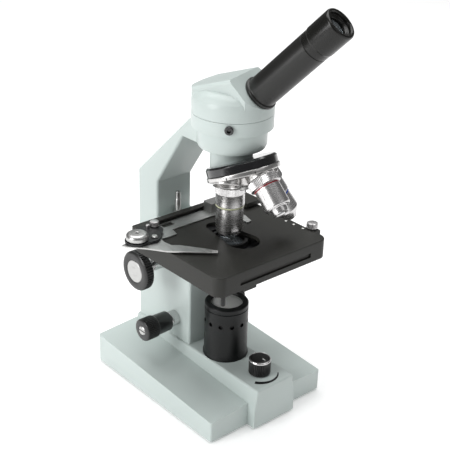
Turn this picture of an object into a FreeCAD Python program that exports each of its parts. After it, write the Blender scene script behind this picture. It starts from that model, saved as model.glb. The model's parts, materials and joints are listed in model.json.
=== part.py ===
"""Student microscope: a parametric assembly of separate pieces, in millimetres.

Frame: +Z up, +X to the right, the user's side is -Y. Pieces are drawn from the middle of the
base at table level, then all moved by origin_right and origin_back, so that the origin lies on
the table under the middle of the whole object's box.
"""
import FreeCAD, Part
import math
import os
import re
import Sketcher
from FreeCAD import Placement, Rotation, Vector

DIMENSIONS = {
    # from the middle of the base to the middle of the whole object's box
    "origin_right": 9.85,
    "origin_back": 13.97,
    # base casting
    "base_width": 130.0,
    "base_depth": 164.8,
    "base_under": 2.0,
    "wing_front": 21.2,
    "wing_rear": 29.7,
    "wing_crown": 2.6,
    "wing_corner": 2.0,
    "spine_top": 39.4,
    "spine_half": 21.3,
    "spine_flare": 23.6,
    "spine_front": 91.4,
    "base_wall": 4.0,
    "cord_level": 12.6,
    "foot_radius": 8.0,
    "foot_side": 52.0,
    "foot_front": 68.0,
    "cover_bottom": 3.0,
    "cover_thick": 1.6,
    # arm casting
    "arm_half": 19.6,
    "block_front": 3.3,
    "block_top": 131.0,
    "ledge_front": 32.0,
    "ledge_top": 150.8,
    "column_front": 50.6,
    "column_back": 78.7,
    "axis_back": 24.8,
    "ring_radius": 34.0,
    "ring_bottom": 257.0,
    "ring_top": 268.5,
    "drum_radius": 29.2,
    "drum_bottom": 238.5,
    "throat_radius": 17.8,
    "optical_bore": 8.5,
    "spigot_radius": 24.24,
    "cavity_half": 14.8,
    "cavity_front": 8.2,
    "cavity_back": 46.0,
    # head and eyepiece
    "head_turn": 18.0,
    "tube_tilt": 45.8,
    "tube_start": 262.0,
    "tube_outer": 13.4,
    "tube_inner": 11.65,
    "tube_seat": 34.5,
    "tube_end": 98.0,
    "eyepiece_outer": 13.9,
    "eyepiece_end": 128.5,
    # nosepiece and objectives
    "turret_tilt": 24.0,
    "port_radius": 18.2,
    "port_level": 210.2,
    "turret_radius": 31.0,
    "turret_thick": 4.5,
    "mount_top": 12.4,
    "pivot_radius": 4.0,
    "shoulder_drop": 6.2,
    "collar_radius": 13.4,
    "objective_tip": 158.6,
    # stage
    "stage_top": 157.4,
    "stage_half": 61.8,
    "stage_front": 83.6,
    "stage_rear": 30.9,
    "stage_plate": 3.5,
    "skirt_depth": 17.3,
    "skirt_wall": 2.6,
    "stage_corner": 8.7,
    # focusing
    "coarse_back": 35.0,
    "coarse_level": 114.1,
    "coarse_radius": 18.3,
    "coarse_face": 57.1,
    "coarse_thick": 9.5,
    "coarse_travel": 20.0,
    "shaft_radius": 4.0,
    "pinion_tip": 8.0,
    "guide_half": 8.0,
    "guide_wide": 11.1,
    "guide_gap": 0.08,
    "carriage_bottom": 100.0,
    "fine_back": 23.2,
    "fine_level": 59.2,
    "fine_radius": 10.4,
    "fine_face": 58.2,
    "fine_screw": 4.5,
    # lamp
    "lamp_radius": 19.5,
    "lamp_top": 92.0,
    "lamp_seam": 86.7,
    "vent_level": 74.5,
    "vent_radius": 2.0,
    # dimmer
    "dimmer_back": 70.5,
    "dimmer_radius": 9.7,
    "dimmer_tall": 16.2,
    # mechanical stage
    "drive_left": 74.7,
    "drive_back": 6.0,
    "drive_radius": 9.5,
    "finger_left": 60.4,
    "finger_back": 1.0,
    "clamp_left": 47.6,
    "clamp_back": 17.8,
    "clamp_radius": 3.9,
}

doc = FreeCAD.newDocument("Microscope")
sheet = doc.addObject("Spreadsheet::Sheet", "Dimensions")
for row, (alias, value) in enumerate(DIMENSIONS.items(), start=1):
    sheet.set(f"A{row}", alias)
    sheet.set(f"B{row}", str(value))
    sheet.setAlias(f"B{row}", alias)
doc.recompute()

EDGE_SCREWS = (("57.1", "-36.1"), ("57.5", "-45.5"), ("58.2", "-56.3"))
STAGE_SCREWS = ("-21", "21")
ARM_BOLTS = ("38", "64")

pieces = {}
X_AXIS = Vector(1, 0, 0)
Y_AXIS = Vector(0, 1, 0)
Z_AXIS = Vector(0, 0, 1)


# ---------------------------------------------------------------- helpers
def size(alias):
    """A driving dimension as a number."""
    return float(sheet.get(alias))


def cells(text):
    """An expression in which every alias names its cell of the sheet."""
    return re.sub(r"\b([a-z]+(?:_[a-z]+)+)\b", r"Dimensions.\1", str(text))


def bind(item, prop, text):
    """Tie a property to an expression of the driving dimensions."""
    item.setExpression(prop, cells(text))


def turn(axis, angle):
    """A placement that only turns."""
    return Placement(Vector(0, 0, 0), Rotation(axis, angle))


def shift(x, y, z):
    """A placement that only moves."""
    return Placement(Vector(x, y, z), Rotation())


def locate(item, x="0", y="0", z="0", rotation=None):
    """Place an item, with each coordinate tied to an expression."""
    item.Placement = Placement(Vector(0, 0, 0), rotation or Rotation())
    for letter, text in zip("xyz", (x, y, z)):
        if text != "0":
            bind(item, "Placement.Base." + letter, text)
    return item


def keep(item, label, placement=None):
    """Name an item as a piece of the object."""
    if placement is not None:
        item.Placement = placement
    bound = {path.lstrip("."): text for path, text in item.ExpressionEngine}
    for path, own, cell in (("Placement.Base.x", item.Placement.Base.x, "origin_right"),
                            ("Placement.Base.y", item.Placement.Base.y, "origin_back")):
        item.setExpression(path, f"{bound.get(path, round(own, 6))} + Dimensions.{cell}")
    item.Label = label
    pieces[label] = item
    return item


def box(name, x, y, z, length, width, height):
    """A box with its low corner at x, y, z."""
    item = doc.addObject("Part::Box", name)
    bind(item, "Length", length)
    bind(item, "Width", width)
    bind(item, "Height", height)
    return locate(item, x, y, z)


def rod(name, radius, height, x="0", y="0", z="0", rotation=None):
    """A cylinder along its own Z, from the point x, y, z."""
    item = doc.addObject("Part::Cylinder", name)
    bind(item, "Radius", radius)
    bind(item, "Height", height)
    return locate(item, x, y, z, rotation)


def cross_rod(name, radius, x, length, y, z):
    """A cylinder along +X, from the plane x."""
    return rod(name, radius, length, x, y, z, Rotation(Y_AXIS, 90))


def fuse(name, items):
    item = doc.addObject("Part::MultiFuse", name)
    item.Shapes = items
    item.Refine = True
    return item


def cut(name, base, tools):
    """The base less all the tools."""
    for number, tool in enumerate(tools):
        item = doc.addObject("Part::Cut", f"{name}{number}")
        item.Base = base
        item.Tool = tool
        item.Refine = True
        base = item
    return base


def outline(body, name, role, points, offset="0"):
    """A closed sketch of straight sides, each corner held by two driving lengths."""
    plane = next(item for item in body.Origin.OriginFeatures if item.Role == role)
    sketch = body.newObject("Sketcher::SketchObject", name)
    sketch.AttachmentSupport = (plane, [""])
    sketch.MapMode = "FlatFace"
    if offset != "0":
        bind(sketch, "AttachmentOffset.Base.z", offset)
    count = len(points)
    ring = [Rotation(Z_AXIS, 360.0 * n / count).multVec(Vector(50, 0, 0)) for n in range(count)]
    for n in range(count):
        sketch.addGeometry(Part.LineSegment(ring[n], ring[(n + 1) % count]), False)
    for n in range(count):
        sketch.addConstraint(Sketcher.Constraint("Coincident", n, 2, (n + 1) % count, 1))
    for n, (across, along) in enumerate(points):
        hold(sketch, n, "DistanceX", across, ring[n].x, -2)
        hold(sketch, n, "DistanceY", along, ring[n].y, -1)
    return sketch


def hold(sketch, corner, kind, text, start, axis):
    """Hold one coordinate of a sketch corner."""
    if text == "0":
        sketch.addConstraint(Sketcher.Constraint("PointOnObject", corner, 1, axis))
        return
    index = sketch.addConstraint(Sketcher.Constraint(kind, -1, 1, corner, 1, start))
    bind(sketch, f"Constraints[{index}]", text)


def padded(name, role, points, length, offset="0", both=False):
    """A body with one padded outline."""
    body = doc.addObject("PartDesign::Body", name)
    pad_on(body, name + "Pad", role, points, length, offset, both)
    return body


def pad_on(body, name, role, points, length, offset="0", both=False):
    """One more pad on a body."""
    pad = body.newObject("PartDesign::Pad", name)
    pad.Profile = outline(body, name + "Sketch", role, points, offset)
    bind(pad, "Length", length)
    if both:
        pad.Midplane = True
    return pad


def turned(name, points):
    """A body turned about its own Z from an outline of radius and height."""
    body = doc.addObject("PartDesign::Body", name)
    turning = body.newObject("PartDesign::Revolution", name + "Turn")
    turning.Profile = outline(body, name + "Sketch", "XZ_Plane", points)
    turning.ReferenceAxis = (turning.Profile[0], ["V_Axis"])
    turning.Angle = 360
    return body


def soften(body, name, radius, choose):
    """Round the edges of a body's last feature that choose() accepts."""
    doc.recompute()
    base = body.Tip
    chosen = [f"Edge{n}" for n, edge in enumerate(base.Shape.Edges, start=1) if choose(edge)]
    rounding = body.newObject("PartDesign::Fillet", name)
    rounding.Base = (base, chosen)
    bind(rounding, "Radius", radius)
    return rounding


def upright(edge):
    """Is this edge a vertical straight line?"""
    return edge.BoundBox.XLength < 0.01 and edge.BoundBox.YLength < 0.01


def half_turns(count):
    return [360.0 * n / count for n in range(count)]


def feature(name, shape):
    """A piece whose shape is made by Part's own functions."""
    item = doc.addObject("Part::Feature", name)
    item.Shape = shape
    return item


def toothed(radius, depth, width, thick, count, phase=0.0):
    """A toothed disc about Z, thick high, with straight-sided teeth standing out of radius."""
    disc = Part.makeCylinder(radius, thick)
    tooth = Part.makeBox(radius + depth, width, thick, Vector(0, -width / 2, 0))
    teeth = []
    for angle in half_turns(count):
        one = tooth.copy()
        one.rotate(Vector(0, 0, 0), Z_AXIS, angle + phase)
        teeth.append(one)
    return disc.multiFuse(teeth).removeSplitter()


def knurled(name, radius, height, notch, count):
    """A thumb wheel about Z with a ring of fine grooves round its side."""
    wheel = Part.makeCylinder(radius, height)
    rim = [edge for edge in wheel.Edges if len(edge.Vertexes) == 1]
    wheel = wheel.makeChamfer(0.5, rim)
    groove = Part.makeCylinder(notch, height, Vector(radius + 0.35 * notch, 0, 0))
    grooves = []
    for angle in half_turns(count):
        one = groove.copy()
        one.rotate(Vector(0, 0, 0), Z_AXIS, angle)
        grooves.append(one)
    return feature(name, wheel.cut(Part.makeCompound(grooves)))


# ---------------------------------------------------------------- base
def base_casting():
    side = [
        ("-base_depth/2", "base_under"),
        ("base_depth/2", "base_under"),
        ("base_depth/2", "wing_rear + wing_crown"),
        ("-base_depth/2", "wing_front + wing_crown"),
    ]
    wings = padded("BaseWings", "YZ_Plane", side, "base_width", both=True)
    soften(wings, "WingCorners", "wing_corner", upright)
    fall = [wing_fall("Left", -1), wing_fall("Right", 1)]
    body = doc.addObject("PartDesign::Body", "BaseSpine")
    spine = [
        ("-spine_flare", "base_under"),
        ("spine_flare", "base_under"),
        ("spine_flare", "wing_front"),
        ("spine_half", "spine_top"),
        ("-spine_half", "spine_top"),
        ("-spine_flare", "wing_front"),
    ]
    pad_on(body, "Spine", "XZ_Plane", spine, "spine_front + column_back", "-column_back")
    soften(body, "SpineEdges", "2", spine_edge)
    casting = fuse("BaseSolid", [cut("BaseWingsCut", wings, fall), body])
    hollow = box("Hollow", "base_wall - base_width/2", "base_wall - base_depth/2", "base_under - 1",
                 "base_width - 2*base_wall", "base_depth - 2*base_wall", "wing_front - base_wall - 1")
    channel = box("Channel", "base_wall - spine_half", "base_wall - spine_front", "base_under - 1",
                  "2*spine_half - 2*base_wall", "spine_front + column_back - 2*base_wall",
                  "spine_top - base_wall - 1")
    lamp_hole = rod("LampHole", "11", "20", y="-axis_back", z="spine_top - 10")
    dimmer_hole = rod("DimmerHole", "4.2", "20", y="-dimmer_back", z="spine_top - 10")
    cord_hole = rod("CordHole", "6", "20", y="base_depth/2 - 12", z="cord_level",
                    rotation=Rotation(X_AXIS, -90))
    shell = cut("BaseShell", casting, [hollow, channel, lamp_hole, dimmer_hole, cord_hole,
                                       *arm_bolt_rods("Hole", "3.3")])
    bosses = []
    for name, x, y in corners("Boss"):
        post = rod(name, "5", "wing_front - base_wall - cover_bottom - cover_thick + 0.6", x, y,
                   "cover_bottom + cover_thick")
        drill = rod(name + "Drill", "1.7", "12", x, y, "cover_bottom + cover_thick")
        bosses.append(cut(name + "Bored", post, [drill]))
    return keep(fuse("BaseWhole", [shell, *bosses]), "base_casting")


def wing_fall(side, sign):
    """The space above one wing, whose top falls to its outer edge and to the front."""
    clear = 20.0
    lap = 2.0
    run = size("base_width") / 2 - size("spine_flare")
    across = Vector(run, 0, -sign * size("wing_crown"))
    rearward = Vector(0, size("base_depth"), size("wing_rear") - size("wing_front"))
    space = box("WingFall" + side, "0", "0", "0", f"base_width/2 - spine_flare + {lap + clear}",
                f"base_depth + {2 * clear}", "30")
    corner = Vector(sign * size("base_width") / 2, -size("base_depth") / 2, size("wing_front"))
    tilt = Rotation(across, rearward, across.cross(rearward), "XYZ")
    start = Vector(-clear if sign < 0 else -run - lap, -clear, 0)
    space.Placement = Placement(corner, tilt).multiply(Placement(start, Rotation()))
    return space


def spine_edge(edge):
    """Is this edge a top or front corner of the spine?"""
    box_ = edge.BoundBox
    long_top = box_.YLength > 100 and box_.ZMin > size("spine_top") - 0.01
    front = box_.YMax < 0.01 - size("spine_front") and box_.ZMax > size("spine_top") - 0.01
    return long_top or front


def corners(stem):
    """The four places where a foot and a cover screw sit."""
    places = []
    for side, x in (("Left", "-foot_side"), ("Right", "foot_side")):
        for end, y in (("Front", "-foot_front"), ("Rear", "foot_front")):
            places.append((stem + side + end, x, y))
    return places


def arm_bolt_rods(stem, radius):
    """Rods on the two bolt lines that hold the arm on the base."""
    return [rod(f"ArmBolt{stem}{n}", radius, "24", y=y, z="spine_top - base_wall - 12")
            for n, y in enumerate(ARM_BOLTS)]


def base_cover():
    plate = box("Cover", "0.4 + base_wall - base_width/2", "0.4 + base_wall - base_depth/2", "cover_bottom",
                "base_width - 2*base_wall - 0.8", "base_depth - 2*base_wall - 0.8", "cover_thick")
    holes = [rod(name, "2.2", "4", x, y, "cover_bottom - 1") for name, x, y in corners("CoverHole")]
    keep(cut("CoverCut", plate, holes), "base_plate")
    feet = []
    screws = []
    for name, x, y in corners("Foot"):
        pad = turned(name, [("4.4", "0"), ("foot_radius - 1", "0"), ("foot_radius", "1"),
                            ("foot_radius", "cover_bottom"), ("4.4", "cover_bottom")])
        feet.append(locate(pad, x, y))
        screw = turned(name + "Screw", [("0", "cover_bottom - 1.6"), ("3.2", "cover_bottom - 1.6"),
                                        ("3.8", "cover_bottom - 0.9"), ("3.8", "cover_bottom"),
                                        ("1.65", "cover_bottom"), ("1.65", "15"), ("0", "15")])
        screws.append(locate(screw, x, y))
    keep(fuse("Feet", feet), "rubber_feet")
    keep(fuse("CoverScrews", screws), "cover_screws")


def arm_bolts():
    head = "spine_top - base_wall"
    bolts = []
    for n, y in enumerate(ARM_BOLTS):
        bolt = turned(f"ArmBolt{n}", [("0", f"{head} - 5"), ("4.8", f"{head} - 5"),
                                      ("5", f"{head} - 4.5"), ("5", head), ("3", head),
                                      ("3", f"{head} + 11.5"), ("0", f"{head} + 11.5")])
        bolts.append(locate(bolt, y=y))
    keep(fuse("ArmBolts", bolts), "arm_bolts")


def power_parts():
    gland = turned("Gland", [("3.5", "-2.4"), ("5.9", "-2.4"), ("5.9", "4.1"),
                             ("7.6", "4.1"), ("6.6", "9"), ("5", "13"), ("3.5", "13")])
    locate(gland, y="base_depth/2 - base_wall", z="cord_level", rotation=Rotation(X_AXIS, -90))
    keep(gland, "power_gland")
    body = rod("PotCase", "8", "8", y="-dimmer_back", z="spine_top - base_wall - 12.1")
    neck = rod("PotNeck", "4.1", "6", y="-dimmer_back", z="spine_top - base_wall - 4.1")
    drill = rod("PotBore", "3.1", "20", y="-dimmer_back", z="spine_top - base_wall - 8")
    keep(cut("PotBored", fuse("PotWhole", [body, neck]), [drill]), "potentiometer")


# ---------------------------------------------------------------- arm
def turret_frame():
    """The turret's frame: its port plane at Z 0, local -Z away from the arm, +Y to the port in use."""
    tilt = math.radians(size("turret_tilt"))
    back = -size("axis_back") - size("port_radius") * math.cos(tilt)
    level = size("port_level") + size("port_radius") * math.sin(tilt)
    return Placement(Vector(0, back, level), Rotation(X_AXIS, -size("turret_tilt")))


def port_frame(angle):
    """A port's frame, with local +Z along its objective, away from the turret."""
    outward = Placement(Vector(0, size("port_radius"), 0), Rotation(X_AXIS, size("turret_tilt") + 180))
    return turret_frame().multiply(turn(Z_AXIS, angle)).multiply(outward)


def arm_casting():
    profile = [
        ("block_front", "spine_top"),
        ("column_back", "spine_top"),
        ("column_back", "188.8"),
        ("9", "255.7"),
        ("3.25", "259"),
        ("-axis_back", "259"),
        ("-axis_back", "239"),
        ("14.6", "238.9"),
        ("column_front", "185"),
        ("column_front", "ledge_top"),
        ("ledge_front", "ledge_top"),
        ("ledge_front", "block_top"),
        ("block_front", "block_top"),
    ]
    body = padded("ArmCasting", "YZ_Plane", profile, "2*arm_half", both=True)
    soften(body, "ArmEdges", "2.4", arm_edge)
    ring = rod("Ring", "ring_radius", "ring_top - ring_bottom", y="-axis_back", z="ring_bottom")
    drum = turned("Drum", [("0", "drum_bottom"), ("drum_radius - 4", "drum_bottom"),
                           ("drum_radius - 1.2", "drum_bottom + 1.2"), ("drum_radius", "drum_bottom + 4"),
                           ("drum_radius", "ring_bottom + 1"), ("0", "ring_bottom + 1")])
    locate(drum, y="-axis_back")
    throat = rod("Throat", "throat_radius", "drum_bottom - 204", y="-axis_back", z="205")
    whole = fuse("ArmWhole", [body, ring, drum, throat])
    below = box("BelowNosepiece", "0", "0", "0", "120", "120", "60")
    below.Placement = turret_frame().multiply(shift(-60, -60, size("mount_top") - 60))
    cavity = box("FocusCavity", "-cavity_half", "cavity_front", "48", "2*cavity_half",
                 "cavity_back - cavity_front", "98")
    tools = [
        below,
        rod("OpticalBore", "optical_bore", "80", y="-axis_back", z="200"),
        rod("HeadSocket", "spigot_radius + 0.06", "10", y="-axis_back", z="ring_top - 6.6"),
        cavity,
        box("FrontSlot", "-guide_half - 0.7", "block_front - 5", "102", "2*guide_half + 1.4", "12", "60"),
        cross_rod("CoarseHole", "6.6", "-30", "60", "coarse_back", "coarse_level"),
        cross_rod("FineHole", "6", "-30", "60", "fine_back", "fine_level"),
        *arm_bolt_rods("Tap", "3.02"),
        rod("StopTap", "1.7", "12", y="45.4", z="ledge_top - 9"),
        set_screw_rod("SetTap", "2.65", "14", -1),
        pivot_tap(),
    ]
    return keep(cut("ArmCut", whole, tools), "arm_casting")


def arm_edge(edge):
    """Is this edge a long outer corner on one side of the column, arm or block?"""
    box_ = edge.BoundBox
    side = abs(abs(box_.XMin) - size("arm_half")) < 0.01 and box_.XLength < 0.01
    outer = box_.ZMax > size("ledge_top") + 1 or box_.YMax > size("column_back") - 1
    front = box_.YMax < size("block_front") + 0.1
    return side and (outer or front) and box_.ZLength > 5


def set_screw_frame():
    """The head lock screw's frame, with local Z pointing out of the ring."""
    inner = turn(Z_AXIS, -46).multVec(Vector(0, -(size("ring_radius") - 9.3), 0))
    start = shift(inner.x, inner.y - size("axis_back"), size("ring_bottom") + 6.6)
    return start.multiply(turn(Z_AXIS, -46)).multiply(turn(X_AXIS, 90))


def set_screw_rod(name, radius, length, start):
    """A rod along the head's lock screw."""
    item = rod(name, radius, length)
    item.Placement = set_screw_frame().multiply(shift(0, 0, start))
    return item


def pivot_tap():
    item = rod("PivotTap", "3.02", "8")
    item.Placement = turret_frame().multiply(shift(0, 0, size("mount_top") - 1))
    return item


def small_arm_parts():
    screw = turned("LockScrew", [("0", "0"), ("2.6", "0"), ("2.6", "9.3"), ("3.7", "9.3"),
                                 ("3.7", "11.2"), ("3.1", "11.9"), ("1.6", "11.9"), ("1.6", "9.6"),
                                 ("0", "9.6")])
    keep(screw, "head_lock_screw", set_screw_frame())
    stop = turned("StopRod", [("0", "ledge_top - 8"), ("1.65", "ledge_top - 8"), ("1.65", "ledge_top"),
                              ("4.6", "ledge_top"), ("4.6", "ledge_top + 3"), ("2.7", "ledge_top + 4.4"),
                              ("2.7", "ledge_top + 14"), ("2.2", "ledge_top + 15"),
                              ("2.2", "ledge_top + 21"), ("1.6", "ledge_top + 21.8"),
                              ("0", "ledge_top + 21.8")])
    keep(locate(stop, y="45.4"), "stop_rod")


# ---------------------------------------------------------------- nosepiece
def nosepiece():
    mount = turned("NosepieceMount", [("pivot_radius + 0.03", "turret_thick + 0.3"),
                                      ("turret_radius - 0.8", "turret_thick + 0.3"),
                                      ("turret_radius - 0.8", "mount_top - 1.6"),
                                      ("turret_radius - 2.4", "mount_top"), ("3.05", "mount_top"),
                                      ("3.05", "mount_top - 1.5"),
                                      ("pivot_radius + 0.03", "mount_top - 1.5")])
    mount.Placement = turret_frame()
    bore = rod("MountBore", "optical_bore", "60", y="-axis_back", z="190")
    keep(cut("MountCut", mount, [bore]), "nosepiece_mount")

    dome = turned("TurretDome", [("pivot_radius + 0.06", "-9"), ("9", "-9"), ("12", "-6.5"),
                                 ("14", "-1.4"), ("turret_radius - 3", "0"), ("turret_radius", "0.8"),
                                 ("turret_radius", "turret_thick - 0.4"),
                                 ("turret_radius - 0.4", "turret_thick"),
                                 ("pivot_radius + 0.06", "turret_thick")])
    dome.Placement = turret_frame()
    parts = [dome]
    tools = []
    for number, angle in enumerate(half_turns(4)):
        boss = rod(f"PortBoss{number}", "11.6", "shoulder_drop - 0.6")
        boss.Placement = port_frame(angle).multiply(shift(0, 0, 0.6))
        parts.append(boss)
        drill = rod(f"PortBore{number}", "9.7", "30")
        drill.Placement = port_frame(angle).multiply(shift(0, 0, -15))
        tools.append(drill)
        click = rod(f"ClickNotch{number}", "1.1", "8")
        click.Placement = turret_frame().multiply(turn(Z_AXIS, angle + 45)).multiply(
            shift(0, size("turret_radius") + 0.2, -1))
        tools.append(click)
    clearance = rod("PivotClear", "pivot_radius + 0.06", "30")
    clearance.Placement = turret_frame().multiply(shift(0, 0, -15))
    tools.append(clearance)
    keep(cut("TurretCut", fuse("TurretWhole", parts), tools), "nosepiece_turret")

    pivot = turned("NosepiecePivot", [("0", "-12"), ("6.4", "-12"), ("7", "-11.4"), ("7", "-9.3"),
                                      ("pivot_radius", "-9.3"), ("pivot_radius", "mount_top - 1.5"),
                                      ("3", "mount_top - 1.5"), ("3", "mount_top + 6"),
                                      ("0", "mount_top + 6")])
    keep(pivot, "nosepiece_pivot", turret_frame())


def objective(name, angle, barrel, band_at, band_radius):
    """One objective: a barrel turned from its outline below the shoulder, and a colour band let into it."""
    start = "shoulder_drop"
    thread = [("8.2", f"{start} - 4.5"), ("9.65", f"{start} - 4.5"), ("9.65", start)]
    collar = [("collar_radius - 0.5", start), ("collar_radius", f"{start} + 0.5"),
              ("collar_radius", f"{start} + 6.6"), ("collar_radius - 0.5", f"{start} + 7.1")]
    outside = [(radius, f"{start} + {drop}") for radius, drop in barrel]
    tip_radius, tip_drop = barrel[-1]
    inside = [("3.2", f"{start} + {tip_drop}"), ("3.2", f"{start} + {tip_drop} - 3"),
              ("4.4", f"{start} + {tip_drop} - 9"), ("8.2", f"{start} + {tip_drop} - 16")]
    body = turned(name + "Barrel", thread + collar + outside + inside)
    groove = turned(name + "Groove", band_points(band_at, band_radius, "0.6", "3"))
    keep(cut(name + "Grooved", body, [groove]), name + "_barrel", port_frame(angle))
    band = turned(name + "Band", band_points(band_at, band_radius, "0.6", "0.05"))
    keep(band, name + "_band", port_frame(angle))
    tip = f"{start} + {tip_drop}"
    lens = turned(name + "Lens", [("0", f"{tip} - 2.6"), ("3.2", f"{tip} - 2.6"), ("3.2", f"{tip} - 0.8"),
                                  ("0", f"{tip} - 0.5")])
    lens.Placement = port_frame(angle)
    return lens


def band_points(drop, radius, deep, proud):
    low = f"shoulder_drop + {drop}"
    high = f"shoulder_drop + {drop} + 1.4"
    return [(f"{radius} - {deep}", low), (f"{radius} + {proud}", low),
            (f"{radius} + {proud}", high), (f"{radius} - {deep}", high)]


def objectives():
    reach = size("port_level") - size("shoulder_drop") - size("objective_tip")
    middle = [("12.5", "7.1"), ("12.5", "19.7"), ("11.7", "19.7"), ("11.7", f"{reach - 1.4}"),
              ("9.4", f"{reach}")]
    low = [("11", "7.1"), ("11", "26.6"), ("10", "27.6"), ("6.6", "27.6"), ("6.6", "32"), ("6", "32.8")]
    high = [("11.6", "7.1"), ("11.6", "19"), ("10.6", "19"), ("10.6", f"{reach - 9}"),
            ("4.6", f"{reach - 1.2}"), ("4.2", f"{reach - 0.6}")]
    lenses = [
        objective("objective_middle", 0, middle, "18", "12.5"),
        objective("objective_low", 180, low, "7.7", "11"),
        objective("objective_high", 270, high, "20.2", "10.6"),
    ]
    keep(fuse("ObjectiveLenses", lenses), "objective_lenses")


# ---------------------------------------------------------------- head
def head_frame():
    """The head's frame: Z up the optical axis, local -Y under the eyepiece tube."""
    return Placement(Vector(0, -size("axis_back"), 0), Rotation(Z_AXIS, size("head_turn")))


def tube_frame():
    """The tube's frame: local Z along the tube, from where it meets the optical axis."""
    lean = Placement(Vector(0, 0, size("tube_start")), Rotation(X_AXIS, 90 - size("tube_tilt")))
    return head_frame().multiply(lean)


def head_housing():
    drum = turned("HeadDrum", [("0", "ring_top + 0.3"), ("ring_radius", "ring_top + 0.3"),
                               ("ring_radius", "278.5"), ("ring_radius - 1", "282.6"),
                               ("ring_radius - 3.6", "286.4"), ("ring_radius - 7.4", "289.2"),
                               ("ring_radius - 12", "290.4"), ("0", "290.4")])
    profile = [("-40", "ring_top + 2"), ("33.4", "ring_top + 2"), ("33.4", "286.8"), ("-9.6", "301.4"),
               ("-40", "311")]
    crest = padded("HeadCrest", "YZ_Plane", profile, "2*23.6", both=True)
    soften(crest, "CrestEdges", "3", lambda edge: edge.BoundBox.XLength < 0.01 and edge.BoundBox.ZMin > 284)
    barrel = rod("CrestBarrel", "ring_radius - 0.2", "60", z="ring_top")
    common = doc.addObject("Part::Common", "CrestRound")
    common.Base = crest
    common.Tool = barrel
    whole = fuse("HeadWhole", [drum, common, rod("Spigot", "spigot_radius", "8", z="ring_top - 6.3")])
    beyond = box("BeyondFace", "0", "0", "0", "160", "160", "80")
    beyond.Placement = tube_local().multiply(shift(-80, -80, size("tube_seat")))
    tube_hole = rod("TubeHole", "tube_outer", "60")
    tube_hole.Placement = tube_local().multiply(shift(0, 0, 24.9))
    light_well = rod("LightWell", "10", "22", z="ring_top - 8")
    light_way = rod("LightWay", "9.4", "30")
    light_way.Placement = tube_local()
    housing = cut("HeadCut", whole, [beyond, tube_hole, light_way, light_well])
    keep(housing, "head_housing", head_frame())


def tube_local():
    """The tube's frame within the head's own frame."""
    return Placement(Vector(0, 0, size("tube_start")), Rotation(X_AXIS, 90 - size("tube_tilt")))


def head_parts():
    wedge = [("7", "ring_top - 5"), ("7", "ring_top + 6"), ("-6.8", "ring_top - 5")]
    glass = padded("Prism", "YZ_Plane", wedge, "13", both=True)
    keep(glass, "prism", head_frame())
    tube = turned("EyepieceTube", [("tube_inner", "25"), ("tube_outer - 0.02", "25"),
                                   ("tube_outer - 0.02", "tube_seat"), ("14.6", "tube_seat"),
                                   ("14.6", "tube_seat + 2.8"), ("14.1", "tube_seat + 3.4"),
                                   ("tube_outer", "tube_seat + 3.4"), ("tube_outer", "tube_end - 0.4"),
                                   ("tube_outer - 0.4", "tube_end"), ("tube_inner", "tube_end")])
    keep(tube, "eyepiece_tube", tube_frame())
    body = turned("EyepieceBody", [("9.6", "tube_end - 34"), ("tube_inner - 0.05", "tube_end - 34"),
                                   ("tube_inner - 0.05", "tube_end + 0.2"),
                                   ("tube_outer - 0.3", "tube_end + 0.2"),
                                   ("tube_outer", "tube_end + 0.6"), ("eyepiece_outer", "tube_end + 7"),
                                   ("eyepiece_outer", "eyepiece_end - 1.6"),
                                   ("eyepiece_outer - 1.6", "eyepiece_end"), ("10.4", "eyepiece_end"),
                                   ("8.4", "eyepiece_end - 4.6"), ("7.2", "eyepiece_end - 4.6"),
                                   ("7.2", "eyepiece_end - 10"), ("9.6", "eyepiece_end - 12")])
    keep(body, "eyepiece_body", tube_frame())
    eye = turned("EyeLens", [("0", "eyepiece_end - 9.6"), ("7.2", "eyepiece_end - 9.6"),
                             ("7.2", "eyepiece_end - 6.4"), ("4", "eyepiece_end - 5.4"),
                             ("0", "eyepiece_end - 5")])
    keep(eye, "eye_lens", tube_frame())
    field = turned("FieldLens", [("0", "tube_end - 33"), ("6", "tube_end - 32.4"),
                                 ("9.6", "tube_end - 31"), ("9.6", "tube_end - 28.4"),
                                 ("0", "tube_end - 28.4")])
    keep(field, "field_lens", tube_frame())


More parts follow.
